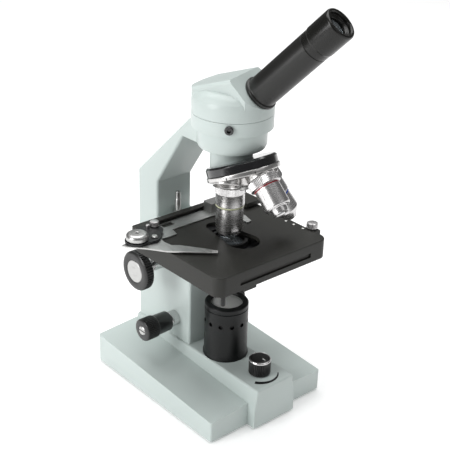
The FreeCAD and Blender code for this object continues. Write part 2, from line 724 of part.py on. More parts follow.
# ---------------------------------------------------------------- lamp
def lamp():
    low = "spine_top"
    house = turned("LampHouse", [("lamp_radius - 2", low), ("lamp_radius + 0.9", low),
                                 ("lamp_radius + 0.9", f"{low} + 2"), ("lamp_radius", f"{low} + 4.5"),
                                 ("lamp_radius", "lamp_seam - 0.5"), ("lamp_radius - 0.5", "lamp_seam"),
                                 ("lamp_radius - 2", "lamp_seam")])
    locate(house, y="-axis_back")
    vents = []
    for number in range(6):
        vent = rod(f"Vent{number}", "vent_radius", "60")
        vent.Placement = shift(0, -size("axis_back"), size("vent_level")).multiply(
            turn(Z_AXIS, 30 * number + 4)).multiply(shift(-30, 0, 0)).multiply(turn(Y_AXIS, 90))
        vents.append(vent)
    keep(cut("LampHouseCut", house, vents), "lamp_house")
    cap = turned("LampCap", [("13.2", "lamp_seam - 5"), ("lamp_radius - 2.03", "lamp_seam - 5"),
                             ("lamp_radius - 2.03", "lamp_seam"), ("lamp_radius - 0.5", "lamp_seam"),
                             ("lamp_radius", "lamp_seam + 0.5"), ("lamp_radius", "lamp_top - 1.2"),
                             ("lamp_radius - 1.2", "lamp_top"), ("14.6", "lamp_top"),
                             ("14", "lamp_top - 1.6"), ("14", "lamp_top - 3.4"),
                             ("13.2", "lamp_top - 3.4")])
    keep(locate(cap, y="-axis_back"), "lamp_cap")
    glass = turned("LampGlass", [("0", "lamp_top - 3.4"), ("13.9", "lamp_top - 3.4"),
                                 ("13.9", "lamp_top - 2.2"), ("8", "lamp_top - 1.4"),
                                 ("0", "lamp_top - 1")])
    keep(locate(glass, y="-axis_back"), "lamp_glass")
    socket = turned("BulbSocket", [("0", f"{low} - base_wall - 3"), ("13.4", f"{low} - base_wall - 3"),
                                   ("13.4", f"{low} - base_wall - 0.1"),
                                   ("10.8", f"{low} - base_wall - 0.1"), ("10.8", f"{low} + 7"),
                                   ("7.1", f"{low} + 7"), ("7.1", f"{low} - 1"), ("0", f"{low} - 1")])
    keep(locate(socket, y="-axis_back"), "bulb_socket")
    bulb = turned("Bulb", [("0", f"{low} - 0.9"), ("7", f"{low} - 0.9"), ("7", f"{low} + 10"),
                           ("8.6", f"{low} + 16"), ("9.6", f"{low} + 22"), ("8.6", f"{low} + 28"),
                           ("5", f"{low} + 33"), ("0", f"{low} + 35")])
    keep(locate(bulb, y="-axis_back"), "bulb")


def dimmer():
    low = "spine_top"
    wheel = knurled("DimmerWheel", size("dimmer_radius"), size("dimmer_tall") - 3.4, 0.45, 40)
    wheel.Placement = shift(0, -size("dimmer_back"), size("spine_top") + 0.6)
    crown = turned("DimmerCrown", [("0", f"{low} + dimmer_tall - 2.9"),
                                   ("dimmer_radius - 0.6", f"{low} + dimmer_tall - 2.9"),
                                   ("dimmer_radius - 1.5", f"{low} + dimmer_tall"),
                                   ("0", f"{low} + dimmer_tall")])
    locate(crown, y="-dimmer_back")
    stem = rod("DimmerStem", "3.04", "9", y="-dimmer_back", z=f"{low} - 8")
    keep(fuse("DimmerWhole", [wheel, crown, stem]), "dimmer_knob")
    trim = turned("DimmerTrim", [("dimmer_radius - 0.5", f"{low} + dimmer_tall - 2.8"),
                                 ("dimmer_radius + 0.1", f"{low} + dimmer_tall - 2.8"),
                                 ("dimmer_radius + 0.1", f"{low} + dimmer_tall - 1.6"),
                                 ("dimmer_radius - 0.5", f"{low} + dimmer_tall - 0.9"),
                                 ("dimmer_radius - 1.1", f"{low} + dimmer_tall - 0.9")])
    keep(locate(trim, y="-dimmer_back"), "dimmer_trim")


# ---------------------------------------------------------------- focusing
def rack_teeth(first, last, pitch):
    """Straight teeth across X, standing back from the rack to the pinion's side."""
    tip = size("coarse_back") - size("pinion_tip") - 0.3
    teeth = []
    level = first
    while level < last:
        teeth.append(Part.makeBox(7, 1.8, 1.3, Vector(-3.5, tip - 1.8, level)))
        level += pitch
    return teeth


def focus_parts():
    wide = "2*cavity_half - 0.6"
    block = box("BlockBody", "0.3 - cavity_half", "cavity_front + 0.4", "86", wide,
                "cavity_back - cavity_front - 0.8", "42")
    leg = box("BlockLeg", "-6", "cavity_front + 12.4", "fine_level + 7.3", "12", "14", "26")
    foot = "carriage_bottom - coarse_travel - 1"
    tall = "coarse_travel + 40"
    tools = [
        box("GuideMouth", "-guide_half", "cavity_front - 1", foot, "2*guide_half", "6.8", tall),
        box("GuideSlot", "-guide_wide", "cavity_front + 5.7", foot, "2*guide_wide", "6.2", tall),
        box("RackGroove", "-4.2", "cavity_front + 11", foot, "8.4",
            "coarse_back - pinion_tip - cavity_front - 10", tall),
        cross_rod("PinionWell", "pinion_tip + 0.5", "-5", "10", "coarse_back", "coarse_level"),
        cross_rod("CoarseBore", "shaft_radius + 0.05", "-20", "40", "coarse_back", "coarse_level"),
    ]
    keep(cut("FocusBlockCut", fuse("FocusBlockWhole", [block, leg]), tools), "focus_block")

    under = "stage_top - stage_plate"
    narrow = box("GuideNeck", "guide_gap - guide_half", "cavity_front + 0.4", "carriage_bottom",
                 "2*guide_half - 2*guide_gap", "6.2", f"{under} - carriage_bottom")
    bar = box("GuideBar", "guide_gap - guide_wide", "cavity_front + 5.8", "carriage_bottom",
              "2*guide_wide - 2*guide_gap", "6", f"{under} - carriage_bottom")
    web = box("CarriageWeb", "guide_gap - guide_half", "-6", "block_top - 7.5",
              "2*guide_half - 2*guide_gap", "cavity_front + 7", f"{under} - block_top + 7.5")
    flange = box("CarriageFlange", "-26", "-6", f"{under} - 4", "52", "9", "4")
    holes = [rod(f"FlangeHole{n}", "1.65", "20", x, "-1.5", "stage_top - 15")
             for n, x in enumerate(STAGE_SCREWS)]
    keep(cut("CarriageCut", fuse("CarriageWhole", [narrow, bar, web, flange]), holes), "focus_carriage")

    spine = Part.makeBox(7, size("coarse_back") - size("pinion_tip") - 2 - size("cavity_front") - 11.8, 36,
                         Vector(-3.5, size("cavity_front") + 11.8, 103))
    teeth = rack_teeth(103.6, 138, 2.6)
    keep(feature("FocusRack", spine.multiFuse(teeth).removeSplitter()), "focus_rack")

    shaft = cross_rod("CoarseShaft", "shaft_radius", "3.4 - coarse_face", "2*coarse_face - 6.8",
                      "coarse_back", "coarse_level")
    hubs = [
        cross_rod("HubLeft", "5.5", "-38", "17.6", "coarse_back", "coarse_level"),
        cross_rod("HubRight", "5.5", "20.4", "17.6", "coarse_back", "coarse_level"),
    ]
    wheel = feature("Pinion", toothed(6.4, size("pinion_tip") - 6.4, 1.2, 8, 18))
    wheel.Placement = side_frame(1, size("coarse_back"), size("coarse_level"), -4)
    keep(fuse("CoarseShaftWhole", [shaft, *hubs, wheel]), "coarse_shaft")
    caps = []
    for side, sign in (("left", -1), ("right", 1)):
        caps.append(coarse_knob(side, sign))
        fine_knob(side, sign)
    keep(fuse("CoarseCaps", caps), "coarse_caps")
    fine_shaft()


def side_frame(sign, back, level, out):
    """A frame on one side of the arm, with local Z pointing away from it."""
    return shift(sign * out, back, level).multiply(turn(Y_AXIS, 90 * sign))


def coarse_knob(side, sign):
    """One coarse knob; gives back the silver cap let into its face."""
    back = size("coarse_face") - size("coarse_thick")
    frame = side_frame(sign, size("coarse_back"), size("coarse_level"), back)
    knob = turned("CoarseKnob" + side, [("shaft_radius", "0"), ("coarse_radius - 5", "0"),
                                        ("coarse_radius - 0.8", "0.4"), ("coarse_radius", "1.2"),
                                        ("coarse_radius", "coarse_thick - 1.2"),
                                        ("coarse_radius - 1", "coarse_thick"), ("10.6", "coarse_thick"),
                                        ("10.6", "coarse_thick - 3"),
                                        ("shaft_radius", "coarse_thick - 3")])
    keep(knob, "coarse_knob_" + side, frame)
    cap = turned("CoarseCap" + side, [("0", "coarse_thick - 2.9"), ("10.5", "coarse_thick - 2.9"),
                                      ("10.5", "coarse_thick - 0.4"), ("9.8", "coarse_thick + 0.1"),
                                      ("0", "coarse_thick + 0.1")])
    cap.Placement = frame
    return cap


def fine_knob(side, sign):
    frame = side_frame(sign, size("fine_back"), size("fine_level"), 0)
    knob = turned("FineKnob" + side, [("3.02", "29"), ("8.5", "29"), ("9.1", "29.6"), ("9.6", "44"),
                                      ("fine_radius", "45"), ("fine_radius", "fine_face - 1"),
                                      ("fine_radius - 1", "fine_face"), ("fine_screw + 0.1", "fine_face"),
                                      ("fine_screw + 0.1", "fine_face - 1.4"),
                                      ("3.02", "fine_face - 1.4")])
    keep(knob, "fine_knob_" + side, frame)


def fine_shaft():
    shaft = cross_rod("FineShaftRod", "3", "-fine_face + 2", "2*fine_face - 4", "fine_back", "fine_level")
    cam = cross_rod("FineCam", "4.4", "-6", "12", "fine_back + 0.8", "fine_level")
    keep(fuse("FineShaftWhole", [shaft, cam]), "fine_shaft")
    screws = []
    bushes = []
    for side, sign in (("left", -1), ("right", 1)):
        frame = side_frame(sign, size("fine_back"), size("fine_level"), 0)
        screw = turned("FineScrew" + side, [("0", "fine_face - 1.35"), ("fine_screw", "fine_face - 1.35"),
                                            ("fine_screw", "fine_face - 0.3"),
                                            ("fine_screw - 0.7", "fine_face + 0.3"),
                                            ("0", "fine_face + 0.3")])
        groove = box("FineSlot" + side, "-0.6", "-7", "fine_face - 0.5", "1.2", "14", "2")
        slotted = cut("FineScrewCut" + side, screw, [groove])
        slotted.Placement = frame
        screws.append(slotted)
        bush = turned("FineBush" + side, [("3.05", "16"), ("5.97", "16"), ("5.97", "arm_half + 0.1"),
                                          ("7.3", "arm_half + 0.1"), ("7.3", "27.6"), ("6.7", "28.4"),
                                          ("3.05", "28.4")])
        bush.Placement = frame
        bushes.append(bush)
    keep(fuse("FineScrews", screws), "fine_knob_screws")
    keep(fuse("FineBushes", bushes), "fine_bushes")


# ---------------------------------------------------------------- stage
def aperture(height, low):
    """The pear-shaped hole: a wide round end towards the user, joined to a narrow round end."""
    wide, narrow, front, back = 14.5, 7.5, -43.0, -6.0
    ends = [Part.makeCylinder(radius, height, Vector(0, middle, low))
            for radius, middle in ((wide, front), (narrow, back))]
    lean = math.asin((wide - narrow) / (back - front))
    corner = []
    for radius, middle in ((wide, front), (narrow, back)):
        corner.append(Vector(radius * math.cos(lean), middle + radius * math.sin(lean), low))
    mirrored = [Vector(-point.x, point.y, low) for point in reversed(corner)]
    web = Part.Face(Part.makePolygon([*corner, *mirrored, corner[0]])).extrude(Vector(0, 0, height))
    return ends[0].multiFuse([ends[1], web])


def stage_plate():
    body = doc.addObject("PartDesign::Body", "StageTray")
    points = [("-stage_half", "-stage_front"), ("stage_half", "-stage_front"), ("stage_half", "stage_rear"),
              ("-stage_half", "stage_rear")]
    pad_on(body, "StagePad", "XY_Plane", points, "skirt_depth", "stage_top - skirt_depth")
    soften(body, "StageCorners", "stage_corner", upright)
    soften(body, "StageRim", "0.9", lambda edge: edge.BoundBox.ZMin > size("stage_top") - 0.01)
    hollow = doc.addObject("PartDesign::Body", "StageHollow")
    inner = [("skirt_wall - stage_half", "skirt_wall - stage_front"),
             ("stage_half - skirt_wall", "skirt_wall - stage_front"),
             ("stage_half - skirt_wall", "stage_rear + 2"), ("skirt_wall - stage_half", "stage_rear + 2")]
    pad_on(hollow, "HollowPad", "XY_Plane", inner, "skirt_depth", "stage_top - stage_plate - skirt_depth")
    soften(hollow, "HollowCorners", "stage_corner - skirt_wall",
           lambda edge: upright(edge) and edge.BoundBox.YMax < 0)
    hole = feature("StageHole", aperture(20, size("stage_top") - 10))
    slit = box("FrontSlit", "-38.5", "-stage_front - 4", "stage_top - 12.4", "79.7",
               "skirt_wall + 3", "4.2")
    drills = [rod(f"StageTap{n}", "1.6", "3.2", x, "-1.5", "stage_top - stage_plate - 0.1")
              for n, x in enumerate(STAGE_SCREWS)]
    marks = [rod(f"MarkHole{n}", "1.55", "3", x, y, "stage_top - 2.2")
             for n, (x, y) in enumerate(EDGE_SCREWS)]
    tray = cut("StageCut", body, [hollow, hole, slit, *drills, *marks])
    lug = box("ThumbLug", "stage_half - 1.4", "-67", "stage_top - 5.6", "8.6", "12", "4.6")
    tab = box("FrontTab", "-33", "1 - stage_front", "stage_top - skirt_depth - 3", "13", "1.6", "8")
    lug_hole = rod("LugHole", "2.05", "12", "64.6", "-61", "stage_top - 8")
    keep(cut("StageLugged", fuse("StageWhole", [tray, lug, tab]), [lug_hole]), "stage_plate")


def stage_parts():
    screws = []
    low = "stage_top - stage_plate - 4"
    for n, x in enumerate(STAGE_SCREWS):
        screw = turned(f"StageScrew{n}", [("0", f"{low} - 2.4"), ("2.9", f"{low} - 2.4"), ("2.9", low),
                                          ("1.55", low), ("1.55", "stage_top - 0.7"),
                                          ("0", "stage_top - 0.7")])
        screws.append(locate(screw, x, "-1.5"))
    keep(fuse("StageScrews", screws), "stage_screws")
    marks = []
    for n, (x, y) in enumerate(EDGE_SCREWS):
        mark = turned(f"EdgeScrew{n}", [("0", "stage_top - 2.1"), ("1.5", "stage_top - 2.1"),
                                        ("1.5", "stage_top"), ("0.9", "stage_top + 0.3"),
                                        ("0", "stage_top + 0.3")])
        marks.append(locate(mark, x, y))
    keep(fuse("EdgeScrews", marks), "stage_edge_screws")
    nut = knurled("ThumbNut", 5, 5, 0.45, 24)
    nut.Placement = shift(64.6, -61, size("stage_top") + 0.4)
    stem = rod("ThumbStem", "2", "8", "64.6", "-61", "stage_top - 6.6")
    keep(fuse("ThumbWhole", [nut, stem]), "stage_thumb_nut")

    under = "stage_top - stage_plate"
    mount = turned("CondenserTube", [("12", f"{under} - 27.2"), ("13.6", f"{under} - 27.2"),
                                     ("13.6", f"{under} - 24.2"), ("12.6", f"{under} - 24.2"),
                                     ("12.6", f"{under} - 20.4"), ("16.6", f"{under} - 20.4"),
                                     ("16.6", f"{under} - 0.5"), ("14", f"{under} - 0.5"),
                                     ("14", f"{under} - 3"), ("12", f"{under} - 3"),
                                     ("12", f"{under} - 6"), ("10", f"{under} - 8"),
                                     ("10", f"{under} - 27.2")])
    locate(mount, y="-axis_back")
    lugs = [box(f"CondenserLug{n}", x, "-axis_back - 3", f"{under} - 3", "2", "6", "3")
            for n, x in enumerate(("-16.5", "14.5"))]
    keep(fuse("CondenserWhole", [mount, *lugs]), "condenser_mount")
    lens = turned("CondenserLens", [("0", f"{under} - 6"), ("11.95", f"{under} - 6"),
                                    ("11.95", f"{under} - 4"), ("7", f"{under} - 2.4"),
                                    ("0", f"{under} - 1.8")])
    keep(locate(lens, y="-axis_back"), "condenser_lens")
    ring = turned("IrisRing", [("12.66", f"{under} - 23.9"), ("17.4", f"{under} - 23.9"),
                               ("17.4", f"{under} - 20.7"), ("12.66", f"{under} - 20.7")])
    arm = box("IrisArm", "15", "-2.2", f"{under} - 23.9", "22.2", "4.4", "2.2")
    knob = turned("IrisKnob", [("0", "107.4"), ("1.8", "107.4"), ("2.3", "108"), ("2.3", "117"),
                               ("1.7", "119"), ("1.7", f"{under} - 21.9"), ("0", f"{under} - 21.9")])
    locate(knob, "37")
    lever = fuse("IrisLever", [ring, arm, knob])
    keep(lever, "iris_lever", shift(0, -size("axis_back"), 0).multiply(turn(Z_AXIS, 223)))


# ---------------------------------------------------------------- mechanical stage
def mechanical_stage():
    top = "stage_top"
    rail = box("RearRail", "-62", "24", f"{top} + 0.2", "124", "6.5", "4.6")
    groove = box("RailGroove", "-70", "23", f"{top} + 1.6", "140", "2.7", "1.8")
    post = box("RailPost", "45", "2", f"{top} + 1.8", "17", "23", "4.2")
    keep(cut("RailCut", fuse("RailWhole", [rail, post]), [groove]), "mechanical_stage_rail")

    plate = padded("BracketPlate", "XY_Plane", [
        ("-drive_left - 6.5", "drive_back + 7.6"), ("-drive_left - 2", "drive_back - 9.4"), ("-62", "-5.4"),
        ("-58.2", "-4.2"), ("-44.4", "9.6"), ("-42.6", "23.7"), ("-61", "23.7")],
        "2", f"{top} + 3")
    disc = rod("BracketDisc", "drive_radius + 0.9", "2", "-drive_left", "drive_back", f"{top} + 3")
    foot = rod("BracketFoot", "3.4", "1.7", "-clamp_left", "clamp_back", f"{top} + 1.4")
    tongue = box("BracketTongue", "-56", "19", f"{top} + 1.8", "10", "6.5", "1.4")
    drive_hole = rod("DriveHole", "3.05", "20", "-drive_left", "drive_back", f"{top} - 5")
    clamp_hole = rod("ClampHole", "2.05", "20", "-clamp_left", "clamp_back", f"{top} - 5")
    screw_hole = rod("FingerScrewHole", "1.52", "20", "-finger_left", "finger_back", f"{top} - 5")
    solid = fuse("BracketWhole", [plate, disc, foot, tongue])
    keep(cut("BracketCut", solid, [drive_hole, clamp_hole, screw_hole]), "mechanical_stage_bracket")

    wheel = turned("DriveWheel", [("0", f"{top} + 5.3"), ("drive_radius - 0.4", f"{top} + 5.3"),
                                  ("drive_radius", f"{top} + 5.7"), ("drive_radius", f"{top} + 8.6"),
                                  ("drive_radius - 1.8", f"{top} + 11.4"), ("1.6", f"{top} + 11.4"),
                                  ("1.2", f"{top} + 10.9"), ("0", f"{top} + 10.9")])
    locate(wheel, "-drive_left", "drive_back")
    stem = rod("DriveStem", "3", "2.4", "-drive_left", "drive_back", f"{top} + 3.1")
    keep(fuse("DriveWhole", [wheel, stem]), "stage_drive_knob")

    holder = padded("HolderPlate", "XY_Plane", [
        ("-55", "23.7"), ("34", "23.7"), ("34", "-8"), ("31", "-19"), ("26.6", "-20"), ("25.6", "-18.4"),
        ("26.8", "9.4"), ("-34.6", "9.4"), ("-37.2", "0.2"), ("-47", "-0.4"), ("-53.6", "1.4"),
        ("-55", "9.6")],
        "1.2", f"{top} + 0.2")
    oval = box("HolderOval", "-38.5", "16.3", f"{top} - 2", "12.1", "5.5", "8")
    stud_hole = rod("StudHole", "1.6", "8", "-clamp_left", "clamp_back", f"{top} - 2")
    keep(cut("HolderCut", holder, [oval, stud_hole]), "slide_holder")
    block = box("HolderBlock", "12", "13", f"{top} + 1.4", "14", "10.7", "9.2")
    lip = box("HolderTongue", "12", "23", f"{top} + 1.8", "14", "2.4", "1.4")
    keep(fuse("HolderBlockWhole", [block, lip]), "holder_block")

    blade = [
        ("-66", "10.5"), ("-76", "9.6"), ("-89.3", "9"), ("-87.6", "4.4"), ("-76", "-8"),
        ("-65.6", "-22.8"),
        ("-50", "-36.8"), ("-34.5", "-50.4"), ("-32", "-47.6"), ("-38.1", "-37.6"), ("-50.5", "-20.4"),
        ("-55.9", "-15.8"), ("-57", "-8"), ("-55.2", "-1"), ("-54", "4.4"), ("-57", "9.4")]
    finger = padded("FingerBlade", "XY_Plane", blade, "1.2", f"{top} + 1.6")
    bore = rod("FingerBore", "1.57", "8", "-finger_left", "finger_back", f"{top} - 2")
    keep(cut("FingerCut", finger, [bore]), "slide_finger")
    screw = turned("FingerScrew", [("0", f"{top} + 0.3"), ("2.6", f"{top} + 0.3"),
                                   ("2.6", f"{top} + 1.3"), ("1.5", f"{top} + 1.3"),
                                   ("1.5", f"{top} + 5"), ("2.9", f"{top} + 5"), ("2.9", f"{top} + 5.8"),
                                   ("2.3", f"{top} + 6.3"), ("0", f"{top} + 6.3")])
    keep(locate(screw, "-finger_left", "finger_back"), "finger_screw")
    wheel = knurled("ClampWheel", size("clamp_radius"), 4.6, 0.4, 24)
    wheel.Placement = shift(-size("clamp_left"), size("clamp_back"), size("stage_top") + 5.3)
    shank = rod("ClampShank", "2", "4", "-clamp_left", "clamp_back", f"{top} + 1.7")
    keep(fuse("ClampWhole", [wheel, shank]), "holder_clamp_knob")


# ---------------------------------------------------------------- build
base_casting()
base_cover()
arm_bolts()
power_parts()
arm_casting()
small_arm_parts()
nosepiece()
objectives()
head_housing()
head_parts()
lamp()
dimmer()
focus_parts()
stage_plate()
stage_parts()
mechanical_stage()
doc.recompute()

faults = [item.Name for item in doc.Objects if "Invalid" in item.State or "Error" in item.State]
faults += [label for label, item in pieces.items() if item.Shape.isNull() or not item.Shape.isValid()]
if faults:
    raise RuntimeError("not built: " + ", ".join(faults))

os.makedirs("parts", exist_ok=True)
for label, item in pieces.items():
    item.Shape.exportStep(os.path.join("parts", label + ".step"))
print(len(pieces), "pieces")
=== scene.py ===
import json
import math

import bmesh
import bpy
from mathutils import Matrix, Vector

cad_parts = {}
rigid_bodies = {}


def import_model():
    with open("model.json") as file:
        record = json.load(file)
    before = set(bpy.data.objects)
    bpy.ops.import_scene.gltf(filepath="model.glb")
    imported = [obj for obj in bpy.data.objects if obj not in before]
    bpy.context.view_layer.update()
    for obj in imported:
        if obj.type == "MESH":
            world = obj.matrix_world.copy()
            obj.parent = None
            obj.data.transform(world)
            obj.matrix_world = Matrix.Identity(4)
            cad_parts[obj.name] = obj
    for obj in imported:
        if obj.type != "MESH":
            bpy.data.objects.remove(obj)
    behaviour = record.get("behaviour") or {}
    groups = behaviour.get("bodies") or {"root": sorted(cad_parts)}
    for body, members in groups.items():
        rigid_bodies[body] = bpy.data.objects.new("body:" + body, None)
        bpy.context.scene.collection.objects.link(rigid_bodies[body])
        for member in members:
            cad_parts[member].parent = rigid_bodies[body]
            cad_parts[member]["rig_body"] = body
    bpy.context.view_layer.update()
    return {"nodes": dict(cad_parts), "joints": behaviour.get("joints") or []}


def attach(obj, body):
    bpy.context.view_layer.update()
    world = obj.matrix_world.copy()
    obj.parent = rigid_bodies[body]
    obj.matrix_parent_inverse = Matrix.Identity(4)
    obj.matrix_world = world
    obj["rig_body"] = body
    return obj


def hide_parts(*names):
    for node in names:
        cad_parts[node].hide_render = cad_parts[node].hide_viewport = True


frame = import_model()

NODES = frame["nodes"]
JOINTS = {joint["name"]: joint for joint in frame["joints"]}
MM = 0.001
NOISE_LOW, NOISE_HIGH = 0.3, 0.7
NEARLY_NOTHING = 1e-6
FLUTE_SHARPNESS = 1.6


# ---------------------------------------------------------------- materials
def node_group(name, color, rough, metal=0.0, coat=0.0, spec=0.5):
    """A new material set to plain values, with its node tree and its shader."""
    made = bpy.data.materials.new(name)
    made.use_nodes = True
    tree = made.node_tree
    shader = tree.nodes["Principled BSDF"]
    shader.inputs["Base Color"].default_value = (*color, 1)
    shader.inputs["Roughness"].default_value = rough
    shader.inputs["Metallic"].default_value = metal
    shader.inputs["Coat Weight"].default_value = coat
    shader.inputs["Coat Roughness"].default_value = 0.12
    shader.inputs["Specular IOR Level"].default_value = spec
    return made, tree, shader


def add(tree, kind, **values):
    node = tree.nodes.new(kind)
    for key, value in values.items():
        if key in node.inputs:
            node.inputs[key].default_value = value
        else:
            setattr(node, key, value)
    return node


def coordinates(tree, stretch=(1, 1, 1)):
    """Object coordinates, stretched along the piece's own axes."""
    where = add(tree, "ShaderNodeTexCoord")
    mapping = add(tree, "ShaderNodeMapping")
    mapping.inputs["Scale"].default_value = stretch
    tree.links.new(where.outputs["Object"], mapping.inputs["Vector"])
    return mapping.outputs["Vector"]


def noise(tree, vector, scale, detail=3.0, rough=0.5):
    node = add(tree, "ShaderNodeTexNoise", Scale=scale, Detail=detail, Roughness=rough)
    tree.links.new(vector, node.inputs["Vector"])
    return node.outputs["Fac"]


def ramp(tree, source, stops):
    """A colour ramp between (position, colour) stops."""
    node = add(tree, "ShaderNodeValToRGB")
    elements = node.color_ramp.elements
    while len(elements) < len(stops):
        elements.new(0.5)
    for element, (position, color) in zip(elements, stops):
        element.position = position
        element.color = (*color, 1)
    tree.links.new(source, node.inputs["Fac"])
    return node.outputs["Color"]


def spread(tree, source, low, high):
    """A number between low and high that follows a noise."""
    node = add(tree, "ShaderNodeMapRange")
    node.inputs["From Min"].default_value = NOISE_LOW
    node.inputs["From Max"].default_value = NOISE_HIGH
    node.inputs["To Min"].default_value = low
    node.inputs["To Max"].default_value = high
    tree.links.new(source, node.inputs["Value"])
    return node.outputs["Result"]


def bump(tree, shader, height, strength, distance):
    node = add(tree, "ShaderNodeBump", Strength=strength, Distance=distance)
    tree.links.new(height, node.inputs["Height"])
    tree.links.new(node.outputs["Normal"], shader.inputs["Normal"])


def shade(color, factor):
    return tuple(min(1.0, part * factor) for part in color)


def painted(name, color, rough, grain, strength, coat=0.0, vary=0.06, spec=0.5):
    """Sprayed paint: a fine orange-peel surface, with slight changes of tone and gloss."""
    made, tree, shader = node_group(name, color, rough, coat=coat, spec=spec)
    where = coordinates(tree)
    broad = noise(tree, where, 22, 4)
    tone = ramp(tree, broad, [(NOISE_LOW, shade(color, 1 - vary)), (NOISE_HIGH, shade(color, 1 + vary))])
    tree.links.new(tone, shader.inputs["Base Color"])
    fine = noise(tree, where, grain, 3, 0.6)
    tree.links.new(spread(tree, fine, rough * 0.88, rough * 1.12), shader.inputs["Roughness"])
    bump(tree, shader, fine, strength, 0.00012)
    return made


def turned_metal(name, color, rough, rings=2600, strength=0.25, vary=0.08):
    """Lathe-turned metal: fine rings along the piece's own Z."""
    made, tree, shader = node_group(name, color, rough, metal=1.0)
    along = coordinates(tree, (0.02, 0.02, 1))
    lines = noise(tree, along, rings, 2, 0.7)
    tree.links.new(spread(tree, lines, rough * 0.93, rough * 1.07), shader.inputs["Roughness"])
    cloudy = noise(tree, coordinates(tree), 55, 4)
    tone = ramp(tree, cloudy, [(NOISE_LOW, shade(color, 1 - vary)), (NOISE_HIGH, shade(color, 1 + vary))])
    tree.links.new(tone, shader.inputs["Base Color"])
    if strength:
        bump(tree, shader, lines, strength, 0.00003)
    return made


def brushed_metal(name, color, rough, stretch, strength=0.3, vary=0.1):
    """Sheet metal brushed along one direction."""
    made, tree, shader = node_group(name, color, rough, metal=1.0)
    along = coordinates(tree, stretch)
    lines = noise(tree, along, 900, 3, 0.7)
    tree.links.new(spread(tree, lines, rough * 0.75, rough * 1.3), shader.inputs["Roughness"])
    tone = ramp(tree, lines, [(0.25, shade(color, 1 - vary)), (0.75, shade(color, 1 + vary))])
    tree.links.new(tone, shader.inputs["Base Color"])
    bump(tree, shader, lines, strength, 0.00004)
    return made


def spun_metal(name, color, rough):
    """A disc face turned in fine circles about the piece's own Z."""
    made, tree, shader = node_group(name, color, rough, metal=1.0)
    where = add(tree, "ShaderNodeTexCoord")
    flat = add(tree, "ShaderNodeVectorMath", operation="MULTIPLY")
    flat.inputs[1].default_value = (1, 1, 0)
    tree.links.new(where.outputs["Object"], flat.inputs[0])
    reach = add(tree, "ShaderNodeVectorMath", operation="LENGTH")
    tree.links.new(flat.outputs["Vector"], reach.inputs[0])
    one = add(tree, "ShaderNodeCombineXYZ")
    tree.links.new(reach.outputs["Value"], one.inputs["X"])
    rings = noise(tree, one.outputs["Vector"], 3200, 2, 0.7)
    tree.links.new(spread(tree, rings, rough * 0.7, rough * 1.3), shader.inputs["Roughness"])
    tone = ramp(tree, rings, [(NOISE_LOW, shade(color, 0.9)), (NOISE_HIGH, shade(color, 1.08))])
    tree.links.new(tone, shader.inputs["Base Color"])
    bump(tree, shader, rings, 0.25, 0.00003)
    return made


def clear_glass(name, color, rough, through):
    made, tree, shader = node_group(name, color, rough)
    shader.inputs["Transmission Weight"].default_value = through
    shader.inputs["IOR"].default_value = 1.5
    specks = noise(tree, coordinates(tree), 400, 3)
    bump(tree, shader, specks, 0.04, 0.00002)
    return made


PAINT = {
    "mint": painted("mint_enamel", (0.54, 0.61, 0.59), 0.36, 1500, 0.10, coat=0.15, vary=0.02),
    "black": painted("black_enamel", (0.011, 0.011, 0.012), 0.34, 1800, 0.12, spec=0.4),
    "lamp": painted("lamp_black", (0.005, 0.006, 0.006), 0.34, 1600, 0.12, spec=0.3),
    "stage": painted("stage_black", (0.018, 0.018, 0.015), 0.5, 3600, 0.35, spec=0.4),
    "tube": painted("tube_black", (0.010, 0.010, 0.009), 0.33, 2600, 0.12, spec=0.45),
    "eyepiece": painted("eyepiece_black", (0.006, 0.006, 0.005), 0.26, 2600, 0.1, spec=0.4),
    "gloss": painted("gloss_black", (0.008, 0.008, 0.009), 0.16, 1200, 0.05, coat=0.6),
    "knob_face": painted("knob_face", (0.045, 0.046, 0.044), 0.5, 2800, 0.3),
    "knob": painted("knob_black", (0.012, 0.012, 0.012), 0.36, 2400, 0.16, coat=0.1),
    "rubber": painted("foot_rubber", (0.02, 0.02, 0.02), 0.8, 1400, 0.4, vary=0.15),
    "plastic": painted("gland_plastic", (0.02, 0.02, 0.021), 0.45, 2000, 0.25),
    "ceramic": painted("socket_ceramic", (0.72, 0.69, 0.62), 0.6, 900, 0.2),
    "white": painted("pointer_white", (0.75, 0.77, 0.75), 0.5, 1500, 0.1),
    "yellow": painted("band_pale_yellow", (0.62, 0.64, 0.42), 0.35, 1500, 0.1),
    "red": painted("band_red", (0.28, 0.012, 0.02), 0.3, 1500, 0.1),
    "blue": painted("band_blue", (0.02, 0.07, 0.38), 0.3, 1500, 0.1),
    # flat black: painted shade in the turret's notches, the lamp's vents and the drive knob's hollow, and
    # real black paint on the condenser mount
    "shade_and_black": painted("painted_shade_and_black", (0.006, 0.006, 0.006), 0.7, 1500, 0.2),
}
METAL = {
    "chrome": turned_metal("turned_chrome", (0.70, 0.69, 0.69), 0.27, strength=0.0, vary=0.03),
    "dull_chrome": turned_metal("dull_chrome", (0.62, 0.61, 0.61), 0.36, strength=0.0, vary=0.03),
    "ring": turned_metal("ring_chrome", (0.64, 0.63, 0.62), 0.28, rings=1500, strength=0.0, vary=0.03),
    "bush": turned_metal("bush_chrome", (0.62, 0.62, 0.62), 0.24, rings=1500),
    "zinc": turned_metal("zinc_plate", (0.46, 0.46, 0.45), 0.36, rings=1800),
    "spun": spun_metal("spun_aluminium", (0.54, 0.54, 0.53), 0.36),
    "plate": brushed_metal("holder_steel", (0.50, 0.51, 0.50), 0.42, (0.06, 1, 1)),
    "finger": brushed_metal("finger_steel", (0.56, 0.56, 0.55), 0.36, (0.6, 0.1, 1)),
    "bronze": brushed_metal("block_bronze", (0.36, 0.33, 0.27), 0.4, (1, 1, 0.1)),
}
GLASS = {
    "lens": clear_glass("lens_glass", (0.75, 0.82, 0.86), 0.03, 0.9),
    "frosted": clear_glass("frosted_glass", (0.78, 0.79, 0.77), 0.55, 0.35),
}


